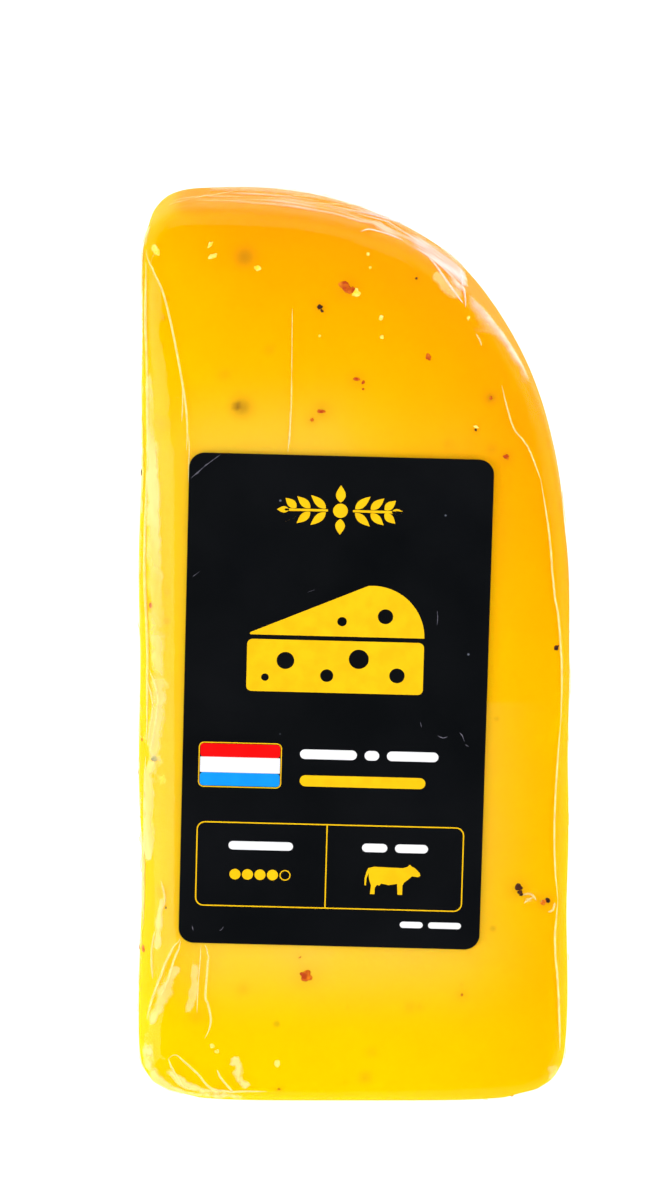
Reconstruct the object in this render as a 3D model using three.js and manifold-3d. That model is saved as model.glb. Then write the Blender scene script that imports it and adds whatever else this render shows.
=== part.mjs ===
// A piece of Gouda with truffle in it, vacuum packed in a clear shrink bag with a label on each cut face.
//
// The piece is a thin slice of half a wheel: the wheel was cut through its middle, then down to its axis.
// It lies on its back cut face. X runs across the half wheel, Y from the blunt tip to the rind, Z is up.
// The front cut face is the back one turned about the wheel's axis, so the thick end is at +Y.
import * as THREE from 'three';
import { mergeVertices } from 'three/addons/utils/BufferGeometryUtils.js';
import Module from 'manifold-3d';

const wasm = await Module();
wasm.setup();

// Driving dimensions, in millimetres and radians.
const FACE_WIDTH = 54.7; // half the wheel's height
const FACE_LENGTH = 119.6; // from the tip to the rind, along the back cut face
const TIP_FLARE = 1.1; // how much wider the piece is at the tip, all on the middle cut's side
const CUT_ANGLE = THREE.MathUtils.degToRad(15); // between the two cut faces
const AXIS_SETBACK = 27; // the cut faces would meet this far beyond the blunt tip
const EDGE_RADIUS = 2.6; // the soft rounding of the cut faces' edges
const MIDDLE_EDGE_RADIUS = 5.6; // the same along the middle cut, which the bag pulls rounder
const TIP_ROUNDING = 0.46; // the largest edge radius, as a share of the thickness there
const FILM = 0.12; // the bag's film
const GAP = 0.3; // between pieces that touch
const FRONT_LABEL = { x: -2.8, y: 52.3, width: 39.3, height: 66, tilt: THREE.MathUtils.degToRad(-1.5) };
const BACK_LABEL = { x: -2, y: 58, width: 40, height: 60, tilt: 0 };
const LABEL_THICK = 0.12;
const LABEL_CORNER = 2;
const SEAL_THICK = 0.24; // both films of the bag, welded together
const RIND_SEAL = { left: -19, right: 9, height: 7 }; // the packer's weld, its tail folded flat on the rind
const TIP_SEAL = { left: -21, right: 19, height: 2.4 }; // the bag maker's weld, round the blunt tip
const MOUTH = { left: -16, right: 6, height: 1.2 }; // where the bag's two lips meet, under the tail

// How finely the round stretches are cut.
const EDGE_STEPS = 4;
const RIND_STEPS = 4;
const LABEL_CORNER_STEPS = 6;

const HALF = FACE_WIDTH / 2;
const ON_FILM = GAP + FILM + GAP; // how far what lies on the film stands off the cheese
const thicknessAt = (y) => (AXIS_SETBACK + y) * Math.sin(CUT_ANGLE);

// One rounded corner of the cut face: a quarter of a superellipse, from angle `from` to a right angle on.
class Corner extends THREE.Curve {
  constructor(centreX, centreY, reachX, reachY, fullness, from) {
    super();
    Object.assign(this, { centreX, centreY, reachX, reachY, fullness, from });
  }

  getPoint(t, target = new THREE.Vector2()) {
    const angle = this.from + (t * Math.PI) / 2;
    const bowed = (v) => Math.sign(v) * Math.abs(v) ** (2 / this.fullness);
    return target.set(
      this.centreX + this.reachX * bowed(Math.cos(angle)),
      this.centreY + this.reachY * bowed(Math.sin(angle)),
    );
  }
}

// The cut face's outline, anticlockwise from the right side: the wheel's rounded shoulder, then the end of
// the middle cut, then the two corners that make up the bowed blunt tip. Straight stretches join them.
function cornerAt(sideX, sideY, reachX, reachY, fullness, from) {
  const centreX = sideX * (HALF - reachX);
  const centreY = sideY > 0 ? FACE_LENGTH - reachY : reachY;
  return new Corner(centreX, centreY, reachX, reachY, fullness, from);
}
const OUTLINE = [
  { corner: cornerAt(1, 1, 47, 57.5, 2.6, 0), steps: 26 },
  { corner: cornerAt(-1, 1, 6.4, 6, 2.3, Math.PI / 2), steps: 9 },
  { corner: cornerAt(-1, -1, HALF, 10.6, 5, Math.PI), steps: 12 },
  { corner: cornerAt(1, -1, HALF, 11.6, 5, Math.PI * 1.5), steps: 12 },
];
const STRAIGHT_STEP = 9; // the longest straight stretch between two stations
const TOUCHING = 1e-3; // two corners' ends closer than this are one station

// Points spaced evenly along each corner, and along the straight stretches between corners.
function outlinePoints() {
  const points = OUTLINE.flatMap(({ corner, steps }) => corner.getSpacedPoints(steps));
  const spaced = points.flatMap((point, i) => {
    const next = points[(i + 1) % points.length];
    const gap = point.distanceTo(next);
    const cuts = gap < TOUCHING ? 0 : Math.ceil(gap / STRAIGHT_STEP);
    return Array.from({ length: cuts }, (_, k) => point.clone().lerp(next, k / cuts));
  });
  return spaced.map(flared);
}

function flared({ x, y }) {
  const towardTip = 1 - y / FACE_LENGTH;
  const towardMiddleCut = (HALF - x) / FACE_WIDTH;
  return new THREE.Vector2(x - TIP_FLARE * towardTip * towardMiddleCut, y);
}

// The rounding of the cut face's edge: soft all round, wider along the middle cut, and never more than the
// thin tip has room for.
function edgeRadius({ x, y }) {
  const { smoothstep, lerp } = THREE.MathUtils;
  const alongMiddleCut = smoothstep(-x, HALF - 5, HALF - 0.5) * (1 - smoothstep(y, 88, 110));
  const wanted = lerp(EDGE_RADIUS, MIDDLE_EDGE_RADIUS, alongMiddleCut);
  return Math.min(wanted, TIP_ROUNDING * thicknessAt(y));
}

// Each station on the outline: its place, its outward direction and its edge radius. Y is from the axis.
const STATIONS = outlinePoints().map((point, i, all) => {
  const before = all[(i + all.length - 1) % all.length];
  const after = all[(i + 1) % all.length];
  const along = after.clone().sub(before).normalize();
  return { x: point.x, y: point.y + AXIS_SETBACK, outX: along.y, outY: -along.x, radius: edgeRadius(point) };
});

// One ring round the back cut face's edge. At lean 0 it lies on the face, at a right angle on the side wall.
function edgeRing(offset, lean) {
  return STATIONS.map(({ x, y, outX, outY, radius }) => {
    const out = (radius + offset) * Math.sin(lean) - radius;
    return new THREE.Vector3(x + out * outX, y + out * outY, radius - (radius + offset) * Math.cos(lean));
  });
}

// A point moved round the wheel's axis, a share of the way to its twin on the other cut face.
function turned(point, share) {
  const reach = Math.hypot(point.y, point.z);
  const start = Math.atan2(point.z, point.y);
  const angle = start + (CUT_ANGLE - 2 * start) * share;
  return new THREE.Vector3(point.x, reach * Math.cos(angle), reach * Math.sin(angle));
}

// The whole skin of the piece, grown outwards by `offset`: rings from the back cut face, over the side wall,
// to the front cut face, and a flat cap on each.
function skin(offset) {
  const lower = Array.from({ length: EDGE_STEPS + 1 }, (_, k) => edgeRing(offset, ((k / EDGE_STEPS) * Math.PI) / 2));
  const wall = Array.from({ length: RIND_STEPS - 1 }, (_, k) =>
    lower[EDGE_STEPS].map((point) => turned(point, (k + 1) / RIND_STEPS)),
  );
  const upper = lower.map((ring) => ring.map((point) => turned(point, 1))).reverse();
  const rings = [...lower, ...wall, ...upper];
  const count = STATIONS.length;
  const cap = THREE.ShapeUtils.triangulateShape(lower[0].map(({ x, y }) => new THREE.Vector2(x, y)), []);
  const top = (rings.length - 1) * count;
  const index = cap.flatMap(([a, b, c]) => [c, b, a, top + a, top + b, top + c]);
  for (let k = 0; k < rings.length - 1; k++) {
    for (let i = 0; i < count; i++) {
      const next = (i + 1) % count;
      const [a, b, c, d] = [k * count + i, k * count + next, (k + 1) * count + next, (k + 1) * count + i];
      index.push(a, b, c, a, c, d);
    }
  }
  return new THREE.BufferGeometry().setFromPoints(rings.flat()).setIndex(index);
}

// Solids for cutting and joining, and back again.
function solidOf(geometry) {
  const bare = new THREE.BufferGeometry().setAttribute('position', geometry.getAttribute('position'));
  const merged = mergeVertices(bare.setIndex(geometry.index), 1e-4);
  return new wasm.Manifold(
    new wasm.Mesh({
      numProp: 3,
      vertProperties: merged.attributes.position.array,
      triVerts: new Uint32Array(merged.index.array),
    }),
  );
}
function geometryOf(solid) {
  const { vertProperties, triVerts } = solid.getMesh();
  return new THREE.BufferGeometry()
    .setAttribute('position', new THREE.BufferAttribute(vertProperties, 3))
    .setIndex(new THREE.BufferAttribute(triVerts, 1));
}
const shell = (inner, outer) => solidOf(skin(outer)).subtract(solidOf(skin(inner)));

// A block across one end of the piece, half way between the two cut faces and in line with them.
function endWindow({ left, right, height }, end) {
  const reach = 20; // from the end of the face, both ways along it
  const block = new THREE.BoxGeometry(right - left, 2 * reach, height);
  block.translate((left + right) / 2, AXIS_SETBACK + end, 0).rotateX(CUT_ANGLE / 2);
  return solidOf(block);
}

function cheeseWedge() {
  const material = new THREE.MeshStandardMaterial({ color: 0xffbe1a, roughness: 0.45, metalness: 0 });
  return named('cheese_wedge', skin(0), material);
}

// The bag is one film round the cheese. Its mouth stays open here, under the welded tail.
function shrinkBag() {
  const film = shell(GAP, GAP + FILM).subtract(endWindow(MOUTH, FACE_LENGTH));
  const material = new THREE.MeshStandardMaterial({
    color: 0xffffff,
    roughness: 0.08,
    metalness: 0,
    transparent: true,
    opacity: 0.2,
  });
  return named('shrink_bag', geometryOf(film), material);
}

// Both films welded together across one end of the bag, trimmed short and lying flat against it.
function seal(name, size, end) {
  const strip = shell(ON_FILM, ON_FILM + SEAL_THICK).intersect(endWindow(size, end));
  const material = new THREE.MeshStandardMaterial({
    color: 0xfff4e6,
    roughness: 0.15,
    metalness: 0,
    transparent: true,
    opacity: 0.4,
  });
  return named(name, geometryOf(strip), material);
}

// A label with rounded corners, its back at z = 0.
function label(name, { width, height, tilt }, color) {
  const corner = LABEL_CORNER;
  const [right, top] = [width / 2, height / 2];
  const shape = new THREE.Shape()
    .moveTo(right, corner - top)
    .lineTo(right, top - corner)
    .absarc(right - corner, top - corner, corner, 0, Math.PI / 2)
    .absarc(corner - right, top - corner, corner, Math.PI / 2, Math.PI)
    .absarc(corner - right, corner - top, corner, Math.PI, Math.PI * 1.5)
    .absarc(right - corner, corner - top, corner, Math.PI * 1.5, Math.PI * 2);
  const geometry = new THREE.ExtrudeGeometry(shape, {
    depth: LABEL_THICK,
    bevelEnabled: false,
    curveSegments: LABEL_CORNER_STEPS,
  });
  const material = new THREE.MeshStandardMaterial({ color, roughness: 0.35, metalness: 0 });
  const mesh = named(name, geometry, material);
  mesh.rotation.z = tilt;
  return mesh;
}

function named(name, geometry, material) {
  const mesh = new THREE.Mesh(geometry, material);
  mesh.name = name;
  return mesh;
}

// The front cut face's own frame: the wheel's axis, turned by the cut angle.
const frontFace = new THREE.Group();
frontFace.rotation.x = CUT_ANGLE;
const frontLabel = label('front_label', FRONT_LABEL, 0x101114);
frontLabel.position.set(FRONT_LABEL.x, (AXIS_SETBACK + FRONT_LABEL.y) / Math.cos(CUT_ANGLE), ON_FILM);
frontFace.add(frontLabel);

const backLabel = label('back_label', BACK_LABEL, 0xf2f0ea);
backLabel.position.set(BACK_LABEL.x, AXIS_SETBACK + BACK_LABEL.y, -ON_FILM - LABEL_THICK);

// Everything is made about the wheel's axis, then moved so that the origin is under the middle of the pack.
const pack = new THREE.Group();
pack.add(cheeseWedge(), shrinkBag(), frontFace, backLabel);
pack.add(seal('rind_seal', RIND_SEAL, FACE_LENGTH), seal('tip_seal', TIP_SEAL, 0));
const box = new THREE.Box3().setFromObject(pack, true);
pack.position.set(-(box.min.x + box.max.x) / 2, -(box.min.y + box.max.y) / 2, -box.min.z);

export default pack;
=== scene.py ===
# %% [markdown]
# # A vacuum-packed wedge of truffle Gouda
#
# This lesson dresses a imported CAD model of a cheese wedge. The cheese is a thin slice of half a wheel. It
# lies on its back cut face, and the camera looks straight down on its front cut face. A clear bag is shrunk
# tight round it, a dark label is stuck on the front and a plain one on the back.
#
# The CAD model gives every size and place. Here each plain solid is replaced by a finished piece: soft
# cheese with truffle bits in it, a bag with folds and pleats, and labels with print on them.

# %% The frame
import math

import bpy
import numpy as np
from mathutils import Matrix, Vector, noise
from mathutils.bvhtree import BVHTree


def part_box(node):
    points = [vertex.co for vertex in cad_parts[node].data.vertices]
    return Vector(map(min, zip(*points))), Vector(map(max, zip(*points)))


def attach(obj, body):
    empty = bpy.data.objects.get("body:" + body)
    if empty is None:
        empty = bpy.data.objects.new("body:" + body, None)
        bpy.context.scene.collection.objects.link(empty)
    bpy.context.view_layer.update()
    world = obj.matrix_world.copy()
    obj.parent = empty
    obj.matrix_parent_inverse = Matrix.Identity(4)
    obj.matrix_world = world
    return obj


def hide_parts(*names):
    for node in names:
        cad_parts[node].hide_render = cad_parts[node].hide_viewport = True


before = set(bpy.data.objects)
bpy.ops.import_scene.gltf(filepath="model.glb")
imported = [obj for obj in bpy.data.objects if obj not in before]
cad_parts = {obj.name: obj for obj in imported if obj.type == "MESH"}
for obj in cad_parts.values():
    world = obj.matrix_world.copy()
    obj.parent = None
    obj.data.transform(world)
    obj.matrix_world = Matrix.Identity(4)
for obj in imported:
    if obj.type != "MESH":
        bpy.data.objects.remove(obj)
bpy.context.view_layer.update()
MM = 0.001

# %% [markdown]
# ## The camera
#
# The pack is seen from straight above with a long lens, so that its outline hardly spreads with height. The
# lens is worked out from the length of table that the view takes in.

# %% The camera
CAMERA_HEIGHT = 1.2
VIEW_HEIGHT = 0.15867  # of the table, from the bottom of the view to the top
SENSOR = 36.0
camera_data = bpy.data.cameras.new("camera")
camera_data.sensor_fit = "VERTICAL"
camera_data.sensor_height = SENSOR
camera_data.lens = SENSOR * CAMERA_HEIGHT / VIEW_HEIGHT
camera_data.clip_end = 20.0
camera = bpy.data.objects.new("camera", camera_data)
camera.location = (-2.2 * MM, 6.03 * MM, CAMERA_HEIGHT)
bpy.context.scene.collection.objects.link(camera)
bpy.context.scene.camera = camera
bpy.context.scene.view_settings.view_transform = "Standard"
print("lens, mm:", round(camera_data.lens, 1))

# %% [markdown]
# ## Working by name
#
# Operators act on whatever is selected. These helpers select one piece and nothing else, add a modifier and
# apply it at once, and start a piece from a CAD solid. A CAD solid comes as loose triangles, so its copy is
# merged first.


# %% Helpers
def only(piece):
    """Selects one piece and makes it active."""
    bpy.ops.object.select_all(action="DESELECT")
    piece.select_set(True)
    bpy.context.view_layer.objects.active = piece


def applied(piece, kind, **settings):
    """Adds a modifier, sets it and applies it."""
    modifier = piece.modifiers.new(kind.lower(), kind)
    for name, value in settings.items():
        setattr(modifier, name, value)
    only(piece)
    bpy.ops.object.modifier_apply(modifier=modifier.name)


def copy_of(node, name):
    """A new piece with the CAD node's shape, its unjoined triangles merged into one skin."""
    piece = bpy.data.objects.new(name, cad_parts[node].data.copy())
    piece.data.materials.clear()
    bpy.context.scene.collection.objects.link(piece)
    only(piece)
    bpy.ops.object.mode_set(mode="EDIT")
    bpy.ops.mesh.select_all(action="SELECT")
    bpy.ops.mesh.remove_doubles(threshold=0.001 * MM)
    bpy.ops.object.mode_set(mode="OBJECT")
    return piece


def points_of(piece):
    """The piece's vertices as an array."""
    flat = np.empty(3 * len(piece.data.vertices))
    piece.data.vertices.foreach_get("co", flat)
    return flat.reshape(-1, 3)


def told(piece):
    """Prints what a piece came out as."""
    size = points_of(piece).max(0) - points_of(piece).min(0)
    print(piece.name, "faces", len(piece.data.polygons), "size mm", [round(float(v) / MM, 2) for v in size])


print("CAD nodes:", sorted(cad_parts))

# %% [markdown]
# ## Places on the wedge
#
# The two cut faces meet at the wheel's axis. Both are found on the CAD cheese: the back face is its lowest
# plane and the front face its largest tilted one. A place on the pack is then three numbers in millimetres,
# as a ruler laid on the front face would give them: across, up from the tip, and how deep below the bag's
# front.

# %% Places on the wedge
AXIS_SETBACK = 27 * MM  # the tip is this far from the wheel's axis
BAG_STANDS_OFF = 0.42 * MM  # the outside of the film, above the cheese

front = max(
    (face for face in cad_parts["cheese_wedge"].data.polygons if face.normal.z > 0.9),
    key=lambda face: face.area,
)
FRONT_NORMAL = front.normal.copy()
CUT_ANGLE = math.atan2(-FRONT_NORMAL.y, FRONT_NORMAL.z)
UP_THE_FACE = Vector((0, math.cos(CUT_ANGLE), math.sin(CUT_ANGLE)))
AXIS_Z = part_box("cheese_wedge")[0][2]
AXIS_Y = front.center.y - (front.center.z - AXIS_Z) / math.tan(CUT_ANGLE)


def place(across, up, depth=0.0):
    """The point at these millimetres on the front face, `depth` below the bag's front."""
    axis = Vector((across * MM, AXIS_Y, AXIS_Z))
    return axis + UP_THE_FACE * (AXIS_SETBACK + up * MM) + FRONT_NORMAL * (BAG_STANDS_OFF - depth * MM)


def ruled(points):
    """Each point as the ruler reads it, mm: across, up from the tip, and below the bag's front."""
    arm = points - np.array((0, AXIS_Y, AXIS_Z))
    up = (np.hypot(arm[:, 1], arm[:, 2]) - AXIS_SETBACK) / MM
    return arm[:, 0] / MM, up, (BAG_STANDS_OFF - arm @ np.array(FRONT_NORMAL)) / MM


print("cut angle", round(math.degrees(CUT_ANGLE), 2), "axis at y", round(AXIS_Y / MM, 2))

# %% [markdown]
# ## The cheese
#
# Real Gouda is soft: its edges are rounded and its cut faces swell and sink a little. The CAD solid has the
# right shape with coarse roundings, so a copy of it is remeshed into even small squares, smoothed and
# refined. Noise then makes the slight unevenness that a cheese wire leaves. What is stuck flat on the pack
# keeps it flat there.

# %% Even squares and soft waves
STUCK_ON = ("front_label", "back_label", "rind_seal", "tip_seal")
LABEL_REACH = 3 * MM
WAVE_GRAIN = 16 * MM
WAVE_HEIGHT = 0.5 * MM


def eased(value, low, high):
    """0 below low, 1 above high, and a soft step between."""
    t = np.clip((value - low) / (high - low), 0, 1)
    return t * t * (3 - 2 * t)


def remeshed(piece, grown, square, smoothing):
    """Grows a piece outwards, remeshes it into even squares, smooths it and halves the squares."""
    applied(piece, "DISPLACE", direction="NORMAL", mid_level=0.0, strength=grown)
    applied(piece, "REMESH", mode="VOXEL", voxel_size=square)
    applied(piece, "SMOOTH", factor=0.5, iterations=smoothing)
    applied(piece, "SUBSURF", levels=1, render_levels=1)


def off_the_labels(points):
    """1 where the pack's skin is free, and 0 under the labels and the seals."""
    free = np.ones(len(points))
    for node in STUCK_ON:
        low, high = (np.array(corner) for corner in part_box(node))
        outside = np.maximum(np.maximum(low - points, points - high), 0)
        free = np.minimum(free, eased(np.linalg.norm(outside, axis=1), 0.8 * MM, LABEL_REACH))
    return free


def normals_of(piece):
    """The piece's vertex normals as an array."""
    flat = np.empty(3 * len(piece.data.vertices))
    piece.data.vertex_normals.foreach_get("vector", flat)
    return flat.reshape(-1, 3)


def moved_to(piece, points):
    """Puts the piece's vertices at these points."""
    piece.data.vertices.foreach_set("co", points.ravel())
    piece.data.update()


def surface(piece, points):
    """The piece's faces at these points, to find the nearest place on them."""
    faces = [face.vertices[:] for face in piece.data.polygons]
    return BVHTree.FromPolygons([Vector(point) for point in points], faces)


def clouds(points, grain, seed):
    """Soft cloudy noise between about -1 and 1 at each point."""
    shift = Vector((7.3 * seed, 3.1 * seed, 1.7 * seed))
    return np.array([noise.noise(Vector(point) / grain + shift) for point in points])


def wire_waves(points):
    """How far the cheese wire's waves lift the skin at each point."""
    return WAVE_HEIGHT * clouds(points, WAVE_GRAIN, 1) * off_the_labels(points)


cheese = copy_of("cheese_wedge", "cheese")
remeshed(cheese, grown=0.26 * MM, square=1.1 * MM, smoothing=3)
cheese_points = points_of(cheese)
cheese_points += normals_of(cheese) * wire_waves(cheese_points)[:, None]
moved_to(cheese, cheese_points)
told(cheese)

# %% [markdown]
# ## The bag
#
# The film follows the cheese closely, but it was a flat tube before it shrank, so what was too wide for the
# cheese has gathered into folds: on the rind's shoulder, along the middle cut and at the tip's corners. The
# bag starts as the same solid, grown by the film's distance, and takes the same waves as the cheese. Folds
# are then pressed into it with strokes, as with a modelling tool: each stroke is a smooth line of places,
# with a width and a height.

# %% The bag's skin
FILM_CRINKLE = 0.07 * MM
CRINKLE_GRAIN = 4.5 * MM
CARD_GAP = 0.24 * MM  # the film rises this much to meet the card

bag = copy_of("cheese_wedge", "bag")
remeshed(bag, grown=BAG_STANDS_OFF, square=0.97 * MM, smoothing=3)
bag_points = points_of(bag)
bag_normals = normals_of(bag)
bag_free = off_the_labels(bag_points)
crinkle = FILM_CRINKLE * clouds(bag_points, CRINKLE_GRAIN, 2) * bag_free
bag_points += bag_normals * (wire_waves(bag_points) + crinkle)[:, None]
card_low, card_high = (np.array(corner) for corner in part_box("front_label"))
beyond_card = np.maximum(np.maximum(card_low - bag_points, bag_points - card_high), 0)
under_card = 1 - eased(np.linalg.norm(beyond_card, axis=1), 0.3 * MM, 1.6 * MM)
bag_points += bag_normals * (CARD_GAP * under_card)[:, None]
told(bag)

# %% Strokes that press folds
LINE_STEP = 0.4 * MM


def drawn(stops):
    """A smooth line through these places on the pack, sampled evenly."""
    stops = [np.array(place(*stop)) for stop in stops]
    line = []
    for i in range(len(stops) - 1):
        before, start = stops[max(i - 1, 0)], stops[i]
        end, after = stops[i + 1], stops[min(i + 2, len(stops) - 1)]
        count = max(2, math.ceil(np.linalg.norm(end - start) / LINE_STEP))
        for t in np.arange(count) / count:
            bend = 2 * before - 5 * start + 4 * end - after + t * (3 * start - before - 3 * end + after)
            line.append(start + t * 0.5 * (end - before + t * bend))
    line.append(stops[-1])
    return np.array(line)


def nearness(points, line, width):
    """1 on the line and 0 far from it, as a bell this wide, thinning out to the line's two ends."""
    close = np.zeros(len(points))
    reach = 2.5 * width
    near = np.flatnonzero(((points > line.min(0) - reach) & (points < line.max(0) + reach)).all(1))
    gaps = np.linalg.norm(points[near, None, :] - line[None, :, :], axis=2)
    along = gaps.argmin(1) / (len(line) - 1)
    close[near] = np.exp(-((gaps.min(1) / width) ** 2)) * eased(np.minimum(along, 1 - along), -0.1, 0.15)
    return close


LEFT_RIDGE = [(-26.7, 114.9, 1.4), (-24.1, 108.6), (-21.6, 95.4), (-21.4, 88.8)]
RIGHT_RIDGE = [
    (19.1, 97.4), (19.9, 94.1), (20.8, 91.5), (22.5, 89.2), (24.2, 84.8), (25.3, 78.1), (26.1, 70.1),
    (26.7, 66, 0.4), (27.1, 59.9, 0.7), (27, 51.8, 0.6), (26.4, 43.2, 0.2), (26.2, 37.7, 0.2),
    (26.4, 32.3, 0.2), (26.8, 28.1, 0.5), (26.4, 22.7, 0.2), (26.7, 17.2, 0.4), (27.2, 7.5, 0.8),
]
SHOULDER_FOLD = [(1, 117.2, 1.8), (2.4, 116.7, 7.8), (3.5, 116, 13.4), (5.9, 114, 20.7), (7.1, 112.8, 24.1)]
LOOSE_PLEATS = [
    [(-22.5, 23.1), (-24.2, 20.1, 0.4), (-25, 17.8, 0.7), (-26.4, 13.4, 1.4), (-26.9, 11.4, 1.7)],
    [(-22.5, 22.7), (-23.5, 19.7, 0.3), (-24.2, 17.2, 0.3), (-25.2, 14.8, 0.7)],
    [(-19.3, 22.2), (-18.9, 20.6), (-19.3, 15.3), (-19, 14.2), (-18.6, 12.1), (-18.8, 10.6), (-19.4, 9.3)],
    [(-24.2, 6.5), (-23.2, 7.1), (-21.7, 5.8), (-20.2, 4.3), (-18.7, 2.5), (-16.6, 1.9), (-11.3, 1.9)],
    [(-24.2, 6.5), (-23.6, 5.1), (-22.9, 3.8), (-22.2, 2.7, 0.3), (-20.7, 2.2, 0.2)],
    [(-17.8, 5), (-17.3, 3.9), (-16.2, 2.5), (-15.5, 1.8)],
]
PIT_DEPTH = 0.35 * MM
PIT_WIDTH = 0.9 * MM
PITS = [[(21.3, 30.3), (21.8, 29.2)], [(25.0, 28.4), (25.6, 27.4)], [(22.4, 28.6), (24.6, 28.4)]]

strokes = [(LEFT_RIDGE, 0.8, 0.22), (RIGHT_RIDGE, 0.7, 0.18), (SHOULDER_FOLD, 0.9, 0.3)]
strokes += [(pleat, 0.6, 0.25) for pleat in LOOSE_PLEATS]
for stops, width, height in strokes:
    press = nearness(bag_points, drawn(stops), width * MM) * height * MM
    bag_points += bag_normals * press[:, None]
cheese_normals = normals_of(cheese)
for pit in PITS:
    bag_points -= bag_normals * (nearness(bag_points, drawn(pit), PIT_WIDTH) * PIT_DEPTH)[:, None]
    cheese_points -= cheese_normals * (nearness(cheese_points, drawn(pit), PIT_WIDTH) * PIT_DEPTH)[:, None]
moved_to(cheese, cheese_points)
print("strokes pressed:", len(strokes), "pits pressed:", len(PITS))

# %% [markdown]
# On the walls the film is looser. Shrinking has drawn it into many small wrinkles that run across the wall,
# from the front face's edge to the back's, and fade out on the faces. They are short strokes too, at seeded
# places.

# %% Wrinkles on the walls
WRINKLE_COUNT = 60
WHEEL_FACE_AT = 26 * MM  # across; the wrinkles past it are shallower
walls = np.random.default_rng(15)
skin = surface(bag, bag_points)
wrinkles = []


def wrinkle(across, up, depth, lean, length):
    """A wrinkle on the wall, through this place, leaning this much from straight across the wall."""
    line = []
    at_an_end = abs(across) < 20
    for step in np.linspace(-0.5, 0.5, 9):
        sideways = step * length * math.sin(lean)
        deeper = depth + step * length * math.cos(lean)
        here = place(across + sideways, up, deeper) if at_an_end else place(across, up + sideways, deeper)
        line.append(np.array(skin.find_nearest(here)[0]))
    return np.array(line)


for _ in range(WRINKLE_COUNT):
    side = walls.choice(["rind", "middle_cut", "wheel_face", "tip"])
    across, up = {
        "rind": (walls.uniform(-24, 8), 121),
        "middle_cut": (-29, walls.uniform(4, 112)),
        "wheel_face": (29, walls.uniform(4, 80)),
        "tip": (walls.uniform(-22, 22), -1),
    }[side]
    thick = (AXIS_SETBACK / MM + up) * math.tan(CUT_ANGLE)
    lean = walls.normal(0.9 if side == "rind" else 0.0, 0.45)
    depth = thick * walls.uniform(0.3, 0.7)
    wrinkles.append(wrinkle(across, up, depth, lean, thick * walls.uniform(0.3, 0.7)))
for line in wrinkles:
    on_the_side = abs(line[:, 0]).max() > WHEEL_FACE_AT
    height = walls.uniform(0.12, 0.3) * (0.35 if on_the_side else 1.0)
    press = nearness(bag_points, line, walls.uniform(0.45, 0.8) * MM) * height * MM
    bag_points += bag_normals * (press * bag_free)[:, None]
moved_to(bag, bag_points)
told(bag)

# %% [markdown]
# ## Where the film stands off
#
# Where the film touches the cheese it can't be seen. Where it stands off, air lies behind it and it turns
# milky, with a sharp edge round each patch. The patches are painted on the bag as an attribute, and part
# of them is painted reflection: the long pale streaks down the middle cut's edge stand for the film's
# mirror there. Each dab is a short line of places with a width. The middle cut's edge and a few large
# bubbles on it are worked out with noise. Where the film clings to a bit of truffle, the paint is taken off
# again. The material sharpens the edges later.

# %% Painting the stand-off film and its painted reflection
# Dabs of pale film: milky where it stands off, and painted reflection down the middle cut's edge.
LOOSE_AND_GLARE_DABS = [
    ([(-26.6, 98.5, 2.2), (-26.3, 95.1, 2), (-26.5, 93, 2.2), (-26.2, 89.8, 2), (-26.1, 86, 1.8)], 1.0),
    ([(-26.4, 91, 2.2), (-26.0, 82, 1.8), (-25.7, 76.5, 1.6), (-25.1, 68, 1.2), (-24.9, 60, 1.0)], 1.7),
    ([(-25.3, 71, 1.2), (-24.7, 63, 0.9), (-24.8, 56, 1.0), (-25.6, 50, 1.6), (-26.4, 44, 2.3)], 1.9),
    ([(-26.6, 46, 2.4), (-26.8, 40, 2.4), (-27.2, 33, 3.0)], 1.3),
    ([(-26.6, 9, 1.8), (-25.6, 4, 1.4), (-23.5, 1.6, 0.8), (-20, 0.7, 0.6), (-14, 0.6, 0.5)], 1.2),
    ([(-26.1, 38, 1.6), (-26.9, 32.9, 2.7)], 0.8),
    ([(-24.6, 28.5, 0.6), (-25.2, 25.9, 1), (-25.6, 21, 1.2)], 0.7),
    ([(-20.6, 21.6), (-20.8, 16.3), (-21.8, 12.6)], 0.6),
    ([(-23.1, 19.5), (-24.6, 15.5, 0.5), (-26.3, 10.5, 1.4)], 0.9),
    ([(-15.8, 5.4), (-15.2, 6.2), (-14.8, 3.4), (-13.6, 2.5)], 0.7),
    ([(-24.3, 5.2), (-22.4, 3.2), (-20.5, 2.2), (-16.6, 1.2)], 0.7),
    ([(-26.9, 9, 2.0), (-26.2, 4.5, 2.0), (-24.6, 2.0, 2.0), (-22.2, 0.6, 1.5)], 1.0),
    ([(26.0, 5.5, 0.5), (26.6, 3.5, 1.0)], 0.9),
    ([(19.2, 34.6), (20.0, 33.6)], 0.5),
    ([(22.3, 28.3), (23.6, 28.2), (25.2, 28.0)], 0.4),
    ([(10.3, 111.6, 2), (12.2, 109.9, 1), (13.9, 108.6, 2)], 1.0),
]
CLINGS = [  # over two bits of truffle
    [(-27.0, 48.0, 2.6), (-27.4, 45.8, 3.4)],
    [(-27.0, 68.4, 2.6), (-27.4, 66.4, 3.4)],
]
CLING_WIDTH = 1.1
EDGE_DEPTH = (5, 7.5)  # mm below the front: the middle cut's loose edge thins out between these


def painted(piece, name, values):
    """Gives the piece one number at each vertex, for its material to read."""
    layer = piece.data.attributes.new(name, "FLOAT", "POINT")
    layer.data.foreach_set("value", np.asarray(values, dtype=np.float32))
    print(piece.name, name, "from", round(float(min(values)), 2), "to", round(float(max(values)), 2))


across, up, depth = ruled(bag_points)
facing = normals_of(bag)
turned = 1 - facing @ np.array(FRONT_NORMAL)
loose_and_glare = np.zeros(len(bag_points))
for stops, width in LOOSE_AND_GLARE_DABS:
    loose_and_glare = np.maximum(loose_and_glare, nearness(bag_points, drawn(stops), width * MM))

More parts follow.
